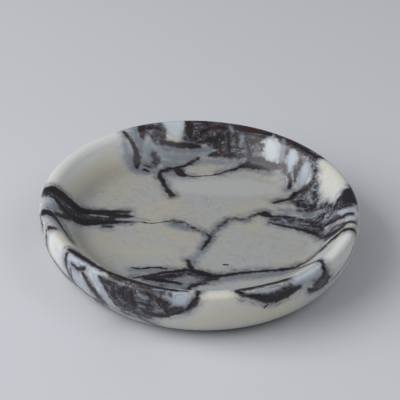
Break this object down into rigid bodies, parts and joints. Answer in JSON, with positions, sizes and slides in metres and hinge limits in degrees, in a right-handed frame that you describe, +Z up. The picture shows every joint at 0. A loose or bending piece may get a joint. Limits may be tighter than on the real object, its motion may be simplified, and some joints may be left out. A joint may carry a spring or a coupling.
{
  "type": "ring dish",
  "caption": "Round turned stone ring dish with a flat floor, a sloping inner wall, a broad rounded rim and small rubber feet.",
  "frame": {"origin": "on the table, under the centre of the dish", "axes": "+Z up, along the dish's turning axis; -Y faces the viewer"},
  "size_m": [0.13, 0.13, 0.025],
  "materials": {
    "polished_marble": "satin-polished breccia marble, ivory with dark purple and blue-grey veins",
    "adhesive_film": "clear double-sided acrylic film",
    "foot_rubber": "matt moulded rubber"
  },
  "bodies": {
    "root": {"dish": "polished_marble", "adhesive_film_back_right": "adhesive_film", "adhesive_film_back_left": "adhesive_film", "adhesive_film_front_left": "adhesive_film", "adhesive_film_front_right": "adhesive_film", "rubber_foot_back_right": "foot_rubber", "rubber_foot_back_left": "foot_rubber", "rubber_foot_front_left": "foot_rubber", "rubber_foot_front_right": "foot_rubber"}
  },
  "joints": []
}
